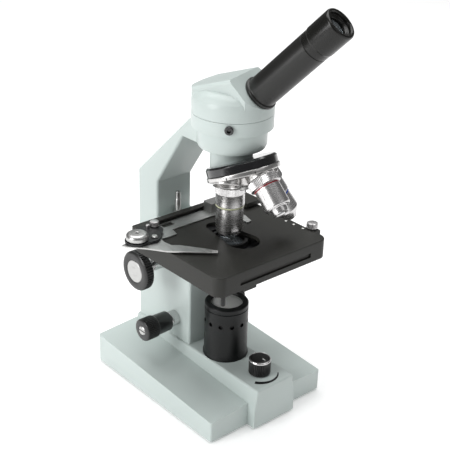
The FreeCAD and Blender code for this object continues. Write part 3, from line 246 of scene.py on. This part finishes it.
# ---------------------------------------------------------------- meshes
def link(name, mesh, body, material, matrix=None):
    piece = bpy.data.objects.new(name, mesh)
    bpy.context.scene.collection.objects.link(piece)
    if matrix is not None:
        piece.matrix_world = matrix
    mesh.materials.clear()
    for one in material if isinstance(material, (list, tuple)) else [material]:
        mesh.materials.append(one)
    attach(piece, body)
    return piece


def smooth(mesh, degrees=32):
    for polygon in mesh.polygons:
        polygon.use_smooth = True
    mesh.set_sharp_from_angle(angle=math.radians(degrees))


def soft_edges(piece, width, segments=3, degrees=32):
    bevel = piece.modifiers.new("SoftEdges", "BEVEL")
    bevel.width = width * MM
    bevel.segments = segments
    bevel.limit_method = "ANGLE"
    bevel.angle_limit = math.radians(degrees)
    bevel.use_clamp_overlap = True
    bevel.harden_normals = True


def refined(node, material, width, degrees, slot):
    """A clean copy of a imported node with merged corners, softened edges and its own finish."""
    source = NODES[node]
    mesh = source.data.copy()
    work = bmesh.new()
    work.from_mesh(mesh)
    bmesh.ops.remove_doubles(work, verts=work.verts, dist=2e-6)
    bmesh.ops.dissolve_limit(work, angle_limit=math.radians(0.6), verts=work.verts, edges=work.edges)
    bmesh.ops.recalc_face_normals(work, faces=work.faces)
    work.to_mesh(mesh)
    work.free()
    if mesh.has_custom_normals:
        mesh.attributes.remove(mesh.attributes["custom_normal"])
    smooth(mesh, degrees)
    piece = link(node + "_finish", mesh, source["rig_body"], material)
    if width:
        soft_edges(piece, width, degrees=degrees)
    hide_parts(node)


def lathe(name, body, material, profile, matrix, parts=96, rib=None, material_at=None):
    """A turned piece: profile of (radius, height) in mm, round the matrix's Z axis.
    rib is (first row, last row, number, depth in mm): those rows are milled with straight flutes.
    material_at gives the material's number for a row."""
    mesh = bpy.data.meshes.new(name)
    work = bmesh.new()
    rows = []
    for index, (radius, height) in enumerate(profile):
        if radius < NEARLY_NOTHING:
            rows.append([work.verts.new((0, 0, height * MM))])
            continue
        ring = []
        for step in range(parts):
            angle = 2 * math.pi * step / parts
            reach = radius
            if rib and rib[0] <= index <= rib[1]:
                wave = math.cos(angle * rib[2])
                reach = radius - rib[3] * (0.5 - 0.5 * max(-1.0, min(1.0, FLUTE_SHARPNESS * wave)))
            across, along = reach * MM * math.cos(angle), reach * MM * math.sin(angle)
            ring.append(work.verts.new((across, along, height * MM)))
        rows.append(ring)
    for index in range(len(rows) - 1):
        low, high = rows[index], rows[index + 1]
        for step in range(parts):
            after = (step + 1) % parts
            if len(low) == 1:
                corners = [low[0], high[step], high[after]]
            elif len(high) == 1:
                corners = [low[step], low[after], high[0]]
            else:
                corners = [low[step], low[after], high[after], high[step]]
            if len(low) == 1 and len(high) == 1:
                continue
            face = work.faces.new(corners)
            if material_at:
                face.material_index = material_at(index)
    if len(rows[0]) > 1 and len(rows[-1]) > 1:
        gap = max(abs(first - last) for first, last in zip(profile[0], profile[-1]))
        if gap >= NEARLY_NOTHING:
            for step in range(parts):
                after = (step + 1) % parts
                work.faces.new([rows[-1][step], rows[-1][after], rows[0][after], rows[0][step]])
    bmesh.ops.remove_doubles(work, verts=work.verts, dist=1e-7)
    bmesh.ops.recalc_face_normals(work, faces=work.faces)
    work.to_mesh(mesh)
    work.free()
    smooth(mesh, 28)
    return link(name, mesh, body, material, matrix)


def eased(points, radius=0.35, steps=3):
    """The profile with each inner corner rounded by a small arc."""
    made = [points[0]]
    for before, corner, after in zip(points, points[1:], points[2:]):
        first = Vector(before) - Vector(corner)
        second = Vector(after) - Vector(corner)
        reach = min(radius, first.length * 0.45, second.length * 0.45)
        start = Vector(corner) + first.normalized() * reach
        end = Vector(corner) + second.normalized() * reach
        for step in range(steps + 1):
            share = step / steps
            bend = Vector(corner) * 2 * share * (1 - share)
            made.append(tuple(start * (1 - share) ** 2 + bend + end * share ** 2))
    made.append(points[-1])
    return made


def axis_frame(point, direction, across=(1, 0, 0)):
    """A matrix at a point in metres, with Z along a direction."""
    up = Vector(direction).normalized()
    side = Vector(across)
    side = (side - up * side.dot(up)).normalized()
    other = up.cross(side)
    basis = Matrix((side, other, up)).transposed().to_4x4()
    basis.translation = Vector(point)
    return basis


def joint_frame(name, direction=None, across=(1, 0, 0)):
    joint = JOINTS[name]
    return axis_frame(joint["pos_m"], direction or joint["axis"], across)


def slab(name, body, material, outline, low, high, matrix=None, soft=0.15, segments=2):
    """A flat piece from an outline in mm, in the given frame."""
    mesh = bpy.data.meshes.new(name)
    work = bmesh.new()
    bottom = [work.verts.new((x * MM, y * MM, low * MM)) for x, y in outline]
    face = work.faces.new(bottom)
    made = bmesh.ops.extrude_face_region(work, geom=[face])
    raised = [item for item in made["geom"] if isinstance(item, bmesh.types.BMVert)]
    bmesh.ops.translate(work, verts=raised, vec=(0, 0, (high - low) * MM))
    bmesh.ops.recalc_face_normals(work, faces=work.faces)
    work.to_mesh(mesh)
    work.free()
    smooth(mesh, 30)
    piece = link(name, mesh, body, material, matrix)
    if soft:
        soft_edges(piece, soft, segments)
    return piece


# ---------------------------------------------------------------- castings
for row in (
        ("base_casting", PAINT["mint"], 0.8, 24, "mint_casting"),
        ("arm_casting", PAINT["mint"], 0.8, 24, "mint_casting"),
        ("head_housing", PAINT["mint"], 1.1, 20, "head_mint"),
        ("base_plate", PAINT["black"], 0.3, 30, "black_paint"),
        ("rubber_feet", PAINT["rubber"], 0.4, 30, "rubber"),
        ("power_gland", PAINT["plastic"], 0.3, 30, "gland_black"),
):
    refined(*row)

# ---------------------------------------------------------------- nosepiece and objectives
turret = joint_frame("nosepiece_turn")
refined("nosepiece_mount", PAINT["gloss"], 0.35, 30, "black_paint")
refined("nosepiece_pivot", METAL["zinc"], 0.2, 30, "zinc")

RIM = 31.0
PORT_CIRCLE = 18.2
PORT_TILT = 204
NOTCHES = 8
# along a port, in mm: where an objective's collar starts, and how far on it ends
SEAT = 6.2
COLLAR_END = 7.1
# above the table, in mm: the port in use, and the tip of the objective in it
PORT_HEIGHT = 210.2
TIP_HEIGHT = 158.6
lathe("turret_ring", "nosepiece", METAL["ring"],
      eased([(4.1, 4.5), (RIM - 0.6, 4.5), (RIM, 4.1), (RIM, 0.7), (RIM - 1.6, 0.1), (RIM - 3.4, -0.1),
             (14.5, -0.6), (13.4, -1.8), (12.4, -5.6), (11, -8.2), (9, -8.9), (4.1, -9)], 0.5),
      turret, 288)
# dark blocks at the rim's notches: painted shade standing in for the depth of the notches
for number in range(NOTCHES):
    angle = math.radians(360 / NOTCHES * (number + 0.5))
    place = turret @ Matrix.Rotation(angle, 4, "Z") @ Matrix.Translation((RIM * MM, 0, 0))
    slab(f"turret_notch_shade_{number:02d}", "nosepiece", PAINT["shade_and_black"],
         [(-0.5, -0.45), (0.06, -0.45), (0.06, 0.45), (-0.5, 0.45)], 0.9, 2.7, place, 0.05, 1)


def port_frame(quarter):
    """A port's frame, with Z along its objective, away from the turret."""
    return (turret @ Matrix.Rotation(math.radians(90 * quarter), 4, "Z")
            @ Matrix.Translation((0, PORT_CIRCLE * MM, 0)) @ Matrix.Rotation(math.radians(PORT_TILT), 4, "X"))


for number in range(4):
    lathe(f"turret_port_{number}", "nosepiece", METAL["ring"],
          eased([(9.8, -1.5), (11.9, -1.5), (11.9, 5.2), (11.4, 5.9), (10.3, 5.9), (9.8, 5.4),
                 (9.8, -1.5)], 0.3),
          port_frame(number), 96)
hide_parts("nosepiece_turret")


def objective(name, quarter, barrel, band, band_material):
    """An objective: milled collar, turned barrel and a coloured ring let into it."""
    port = port_frame(quarter)
    neck = [(8.3, SEAT - 4.4), (9.5, SEAT - 4.4), (9.5, SEAT), (12.7, SEAT), (13.15, SEAT + 0.4)]
    milled = [(13.4, SEAT + 0.7), (13.4, SEAT + 3.4), (13.4, SEAT + COLLAR_END - 0.6)]
    skirt = [(13.1, SEAT + COLLAR_END - 0.25), (12.6, SEAT + COLLAR_END)]
    outside = eased([(r, SEAT + h) for r, h in barrel], 0.45, 4)
    tip, low = barrel[-1]
    inside = [(tip - 1.6, SEAT + low), (tip - 2.4, SEAT + low - 0.9), (3.4, SEAT + low - 1.2),
              (3.3, SEAT + low - 3), (8.3, SEAT + low - 13)]
    profile = neck + milled + skirt + outside + inside + [neck[0]]
    piece = lathe(name + "_turned", "nosepiece", [METAL["chrome"], METAL["dull_chrome"]], profile, port, 240,
                  (5, 7, 60, 0.42), lambda row: 1 if 5 <= row <= 6 else 0)
    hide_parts(name + "_barrel")
    radius, drop = band
    ring = lathe(name + "_ring", "nosepiece", band_material,
                 eased([(radius - 0.5, SEAT + drop), (radius + 0.06, SEAT + drop),
                        (radius + 0.06, SEAT + drop + 1.2), (radius - 0.5, SEAT + drop + 1.2),
                        (radius - 0.5, SEAT + drop)], 0.1, 2), port, 96)
    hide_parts(name + "_band")


REACH = PORT_HEIGHT - SEAT - TIP_HEIGHT
objective("objective_middle", 0,
          [(12.5, 7.3), (12.5, 17.6), (12.25, 17.9), (12.25, 19.3), (11.8, 19.6), (11.8, REACH - 5.4),
           (11.4, REACH - 5.1), (11.2, REACH - 2.2), (10.4, REACH - 1.8), (9.6, REACH - 0.1), (9.2, REACH)],
          (12.25, 18.0), PAINT["yellow"])
objective("objective_low", 2,
          [(11, 7.3), (11, 26.2), (10.2, 27.4), (7.4, 27.5), (6.9, 28), (6.6, 31.9), (6.1, 32.8)],
          (11, 7.7), PAINT["red"])
objective("objective_high", 3,
          [(11.6, 7.3), (11.6, 18.8), (10.7, 19.1), (10.7, REACH - 9.2), (8.6, REACH - 6), (5, REACH - 1.2),
           (4.6, REACH - 0.6)],
          (10.7, 20.2), PAINT["blue"])
NODES["objective_lenses"].data.materials.clear()
NODES["objective_lenses"].data.materials.append(GLASS["lens"])

# ---------------------------------------------------------------- head, tube and eyepiece
TUBE_ROOT_HEIGHT = 262
GLOSSY_FROM_ROW = 52
pull = JOINTS["eyepiece_pull"]
root = Vector(JOINTS["head_turn"]["pos_m"])
root.z = TUBE_ROOT_HEIGHT * MM
level = Vector((0, 0, 1)).cross(Vector(pull["axis"])).normalized()
tube = axis_frame(root, pull["axis"], level)
piece = lathe("tube_turned", "head", PAINT["tube"],
              eased([(11.7, 25.4), (13.3, 25.4), (13.3, 34.7), (14.7, 34.7), (14.9, 35.2), (14.9, 37.1),
                     (14.4, 37.7), (13.6, 37.9), (13.4, 38.4), (13.4, 97.7), (13.3, 97.9), (11.7, 97.9),
                     (11.7, 25.4)], 0.3), tube, 128)
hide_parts("eyepiece_tube")
piece = lathe("eyepiece_turned", "eyepiece", [PAINT["eyepiece"], PAINT["gloss"]],
              eased([(9.7, 64.4), (11.55, 64.4), (11.55, 98.25), (13.25, 98.25), (13.4, 98.4), (13.45, 104.0),
                     (13.9, 105.4), (13.9, 126.8), (13.3, 128.1), (12.4, 128.5), (11.2, 128.3),
                     (10.5, 127.3), (10.2, 125.2), (8.3, 124.6), (7.5, 123.8), (7.3, 119.0), (9.7, 116.2),
                     (9.7, 64.4)], 0.35),
              tube, 128, material_at=lambda row: 1 if row >= GLOSSY_FROM_ROW else 0)
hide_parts("eyepiece_body")
for node in ("eye_lens", "field_lens", "prism", "condenser_lens"):
    refined(node, GLASS["lens"], 0, 30, "lens_glass")
refined("head_lock_screw", PAINT["gloss"], 0.3, 30, "knob_black")

# ---------------------------------------------------------------- lamp
refined("lamp_house", PAINT["lamp"], 0.2, 35, "black_paint")
refined("lamp_cap", PAINT["lamp"], 0.25, 35, "black_paint")
# a dark sleeve inside the housing: painted shade seen through its vents
lamp_axis = Matrix.Translation(Vector(JOINTS["head_turn"]["pos_m"]) * Vector((1, 1, 0)))
lathe("lamp_vent_shade_sleeve", "stand", PAINT["shade_and_black"],
      [(17.1, 48), (17.35, 48), (17.35, 81.4), (17.1, 81.4), (17.1, 48)], lamp_axis, 96)
for row in (
        ("lamp_glass", GLASS["frosted"], 0, 40, "frosted_glass"),
        ("bulb", GLASS["frosted"], 0, 60, "frosted_glass"),
        ("bulb_socket", PAINT["ceramic"], 0.3, 35, "ceramic"),
):
    refined(*row)

# ---------------------------------------------------------------- dimmer
DIMMER_BASE = 39.4
SCALE_STEPS = 40
SCALE_START = 214
SCALE_SWEEP = 108
SCALE_RADIUS = 16.4
SCALE_NARROW = 0.7
SCALE_SWELL = 3.2
dimmer = joint_frame("dimmer_turn")
dimmer.translation.z = DIMMER_BASE * MM
piece = lathe("dimmer_milled", "dimmer", PAINT["knob"],
              [(0, 0.7), (8.6, 0.7), (9.3, 0.9), (9.7, 1.5), (9.7, 4), (9.7, 8), (9.7, 12.4), (9.2, 13.1),
               (8.9, 13.3), (8.5, 14.9), (7.9, 15.5), (7.2, 15.8), (6, 15.9), (0, 15.9)],
              dimmer, 288, (3, 6, 36, 0.75))
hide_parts("dimmer_knob")
piece = lathe("dimmer_bright_ring", "dimmer", METAL["chrome"],
              eased([(8.8, 13.35), (9.75, 13.35), (9.75, 14.3), (9.3, 14.9), (8.7, 15.2), (8.5, 14.8),
                     (8.8, 13.35)], 0.15), dimmer, 128)
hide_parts("dimmer_trim")
slab("dimmer_pointer", "dimmer", PAINT["white"], [(-0.45, -6.6), (0.45, -6.6), (0.45, -3.4), (-0.45, -3.4)],
     15.85, 16.05, dimmer, 0.05, 1)
curve = []
for step in range(SCALE_STEPS + 1):
    angle = math.radians(SCALE_START + SCALE_SWEEP * step / SCALE_STEPS)
    width = SCALE_NARROW + SCALE_SWELL * (1 - step / SCALE_STEPS) ** 0.8
    curve.append((angle, SCALE_RADIUS + width / 2, SCALE_RADIUS - width / 2))
scale_outline = [(outer * math.cos(angle), outer * math.sin(angle)) for angle, outer, inner in curve]
scale_outline += [(inner * math.cos(angle), inner * math.sin(angle))
                  for angle, outer, inner in reversed(curve)]
slab("dimmer_scale", "stand", PAINT["black"], scale_outline, 0.0, 0.16, dimmer, 0.04, 1)

# ---------------------------------------------------------------- focusing drives
for row in (
        ("focus_block", METAL["bronze"], 0.3, 30, "bronze"),
        ("focus_carriage", PAINT["black"], 0.4, 30, "black_paint"),
        ("focus_rack", METAL["bronze"], 0.0, 30, "bronze"),
        ("fine_bushes", METAL["bush"], 0.25, 30, "turned_chrome"),
):
    refined(*row)
COARSE_KNOB_START = 47.6
for side, sign in (("left", -1), ("right", 1)):
    outward = Matrix.Translation((0, 0, COARSE_KNOB_START * MM))
    coarse = joint_frame("coarse_turn", (sign, 0, 0), (0, 0, 1)) @ outward
    piece = lathe(f"coarse_{side}_milled", "coarse_drive", [PAINT["knob"], PAINT["knob_face"]],
                  [(4, 0.2), (12.6, 0.2), (15.4, 0.3), (17.3, 0.7), (18.0, 1.3), (18.3, 1.9), (18.3, 4.6),
                   (18.3, 7.5), (18.0, 8.2), (17.3, 8.8), (16.6, 9.2), (15.6, 9.4), (14, 9.45), (11.2, 9.4),
                   (10.75, 9.2), (10.6, 8.8), (10.6, 6.6), (4, 6.6), (4, 0.2)],
                  coarse, 384, (5, 7, 48, 0.55), lambda row: 1 if row >= 9 else 0)
    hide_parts("coarse_knob_" + side)
    piece = lathe(f"coarse_{side}_disc", "coarse_drive", METAL["spun"],
                  eased([(0, 6.7), (10.5, 6.7), (10.5, 9.0), (10.1, 9.45), (9.2, 9.55), (4.2, 9.5),
                         (3.9, 9.3), (3.6, 9.5), (0, 9.55)], 0.2), coarse, 96)
    if sign < 0:
        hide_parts("coarse_caps")
    fine = joint_frame("fine_turn", (sign, 0, 0), (0, 0, 1))
    piece = lathe(f"fine_{side}_milled", "fine_drive", [PAINT["knob"], PAINT["knob_face"]],
                  [(3.1, 29.1), (8.2, 29.1), (8.8, 29.4), (9.1, 30.0), (9.5, 43.4), (9.7, 44.2), (10.1, 44.7),
                   (10.3, 45.2), (10.4, 46.2), (10.4, 51), (10.4, 56.4), (10.1, 57.3), (9.4, 57.8),
                   (8.6, 58.1), (4.9, 58.1), (4.65, 57.8), (4.65, 56.9), (3.1, 56.9), (3.1, 29.1)],
                  fine, 288, (8, 10, 40, 0.4), lambda row: 1 if row >= 12 else 0)
    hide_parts("fine_knob_" + side)
for row in (
        ("fine_knob_screws", METAL["spun"], 0.15, 30, "silver_disc"),
        ("fine_shaft", METAL["bush"], 0.0, 30, "turned_chrome"),
        ("coarse_shaft", METAL["bush"], 0.2, 30, "turned_chrome"),
        ("stop_rod", METAL["zinc"], 0.15, 30, "zinc"),
        ("arm_bolts", METAL["zinc"], 0.2, 30, "zinc"),
        ("cover_screws", METAL["zinc"], 0.2, 30, "zinc"),
        ("potentiometer", METAL["zinc"], 0.2, 30, "zinc"),
):
    refined(*row)

# ---------------------------------------------------------------- stage
for row in (
        ("stage_plate", PAINT["stage"], 0.7, 28, "stage_black"),
        ("stage_screws", METAL["zinc"], 0.2, 30, "zinc"),
        ("stage_edge_screws", METAL["zinc"], 0.12, 30, "zinc"),
        ("condenser_mount", PAINT["shade_and_black"], 0.3, 35, "black_paint"),
        ("iris_lever", PAINT["black"], 0.25, 35, "black_paint"),
        ("mechanical_stage_rail", PAINT["stage"], 0.35, 30, "stage_black"),
        ("mechanical_stage_bracket", PAINT["black"], 0.3, 30, "black_paint"),
        ("slide_holder", METAL["plate"], 0.18, 30, "steel_plate"),
        ("slide_finger", METAL["finger"], 0.25, 30, "brushed"),
        ("holder_block", METAL["zinc"], 0.4, 30, "bronze"),
        ("finger_screw", METAL["zinc"], 0.2, 30, "zinc"),
):
    refined(*row)
STAGE_TOP = 157.4
# a dark plate round the condenser: painted shade seen through the hole in the stage
SHADE_PLATE_BORE, SHADE_PLATE_RIM = 16.65, 36
SHADE_PLATE_TOP, SHADE_PLATE_UNDERSIDE = 148.4, 146.8
SHADE_PLATE_BACK = 17.5
SHADE_PLATE_STEPS = 96
shade_plate_mesh = bpy.data.meshes.new("condenser_shade_plate")
work = bmesh.new()
loops = []
for radius, level in ((SHADE_PLATE_BORE, SHADE_PLATE_TOP), (SHADE_PLATE_RIM, SHADE_PLATE_TOP),
                      (SHADE_PLATE_RIM, SHADE_PLATE_UNDERSIDE), (SHADE_PLATE_BORE, SHADE_PLATE_UNDERSIDE)):
    loop = []
    for step in range(SHADE_PLATE_STEPS):
        angle = 2 * math.pi * step / SHADE_PLATE_STEPS
        reach = min(radius * math.sin(angle), SHADE_PLATE_BACK)
        loop.append(work.verts.new((radius * MM * math.cos(angle), reach * MM, level * MM)))
    loops.append(loop)
for near, far in zip(loops, loops[1:] + loops[:1]):
    for step in range(SHADE_PLATE_STEPS):
        after = (step + 1) % SHADE_PLATE_STEPS
        work.faces.new([near[step], near[after], far[after], far[step]])
bmesh.ops.recalc_face_normals(work, faces=work.faces)
work.to_mesh(shade_plate_mesh)
work.free()
smooth(shade_plate_mesh, 30)
link("condenser_shade_plate", shade_plate_mesh, "stage", PAINT["black"], lamp_axis)
thumb = joint_frame("thumb_nut_turn")
thumb.translation.z = STAGE_TOP * MM
piece = lathe("thumb_nut_milled", "thumb_nut", METAL["dull_chrome"],
              [(2, -6.4), (2, 0.4), (4.4, 0.4), (5, 0.9), (5, 3), (5, 4.8), (4.5, 5.3), (3.8, 5.4), (0, 5.4)],
              thumb, 192, (4, 6, 24, 0.4))
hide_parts("stage_thumb_nut")
clamp = joint_frame("clamp_knob_turn")
clamp.translation.z = STAGE_TOP * MM
piece = lathe("clamp_knob_milled", "clamp_knob", METAL["dull_chrome"],
              [(2, 1.8), (2, 5.4), (3.4, 5.4), (3.9, 5.8), (3.9, 7.4), (3.9, 9.3), (3.5, 9.7), (3, 9.9),
               (0, 9.9)],
              clamp, 192, (4, 6, 24, 0.35))
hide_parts("holder_clamp_knob")
drive = joint_frame("drive_knob_turn")
drive.translation.z = STAGE_TOP * MM
piece = lathe("drive_knob_turned", "drive_knob", METAL["spun"],
              eased([(3, 3.2), (3, 5.4), (9.0, 5.4), (9.5, 5.8), (9.5, 8.4), (9.1, 9.6), (8.2, 10.6),
                     (7, 11.2), (2.2, 11.4), (1.5, 11.3), (1.3, 10.8), (0, 10.7)], 0.3), drive, 160)
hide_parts("stage_drive_knob")
# a dark disc in the knob's centre hollow: painted shade
lathe("drive_knob_hollow_shade", "drive_knob", PAINT["shade_and_black"],
      [(0, 10.72), (1.2, 10.72), (1.2, 11.0), (0, 11.05)], drive, 32)
post = clamp @ Matrix.Translation((-6.6 * MM, 0.8 * MM, 0))
lathe("bracket_post", "stage_x", METAL["dull_chrome"],
      eased([(0, 5.02), (1.7, 5.02), (1.7, 7.6), (1.2, 8.1), (0, 8.2)], 0.15), post, 48)

# ---------------------------------------------------------------- floor, lights and camera
floor_mesh = bpy.data.meshes.new("floor")
FLOOR_HALF = 3
floor_corners = [(-FLOOR_HALF, -FLOOR_HALF, 0), (FLOOR_HALF, -FLOOR_HALF, 0),
                 (FLOOR_HALF, FLOOR_HALF, 0), (-FLOOR_HALF, FLOOR_HALF, 0)]
floor_mesh.from_pydata(floor_corners, [], [(0, 1, 2, 3)])
floor = bpy.data.objects.new("floor", floor_mesh)
bpy.context.scene.collection.objects.link(floor)
floor_paint, _, floor_shader = node_group("floor_pale", (0.93, 0.93, 0.93), 0.7, spec=0.2)
# a little light of its own keeps the floor white away from the lights
floor_shader.inputs["Emission Color"].default_value = (1, 1, 1, 1)
floor_shader.inputs["Emission Strength"].default_value = 0.2
floor_mesh.materials.append(floor_paint)


def soft_light(name, place, target, size, power):
    lamp = bpy.data.lights.new(name, "AREA")
    lamp.shape = "RECTANGLE"
    lamp.size, lamp.size_y = size
    lamp.energy = power
    held = bpy.data.objects.new(name, lamp)
    bpy.context.scene.collection.objects.link(held)
    held.location = place
    held.rotation_euler = (Vector(target) - Vector(place)).to_track_quat("-Z", "Y").to_euler()


AIM = (0, 0, 0.17)
soft_light("left_softbox", (-1.35, 0.15, 0.75), AIM, (0.7, 1.0), 14)
soft_light("front_softbox", (0.3, -1.2, 1.1), AIM, (0.9, 0.6), 1.5)
soft_light("top_softbox", (0.45, 0.5, 2.2), (0.45, 0.5, 0), (2.4, 2.4), 58)
world = bpy.data.worlds.new("studio")
bpy.context.scene.world = world
world.use_nodes = True
background = world.node_tree.nodes["Background"]
background.inputs["Color"].default_value = (1, 1, 1, 1)
background.inputs["Strength"].default_value = 0.15
bpy.context.scene.view_settings.view_transform = "Standard"

FOCAL_LENGTH, FILM_WIDTH = 80.4, 36
ORIGIN_RIGHT, ORIGIN_BACK = 0.00985, 0.01397
lens = bpy.data.cameras.new("camera")
lens.lens = FOCAL_LENGTH
lens.sensor_width = FILM_WIDTH
camera = bpy.data.objects.new("camera", lens)
bpy.context.scene.collection.objects.link(camera)
right = Vector((0.75497, -0.65520, 0.02696))
up = Vector((0.26438, 0.34175, 0.90184))
back = Vector((-0.60010, -0.67373, 0.43124))
aim = Matrix((right, up, back)).transposed().to_4x4()
aim.translation = Vector((-0.51783 + ORIGIN_RIGHT, -0.60077 + ORIGIN_BACK, 0.53556))
camera.matrix_world = aim
bpy.context.scene.camera = camera
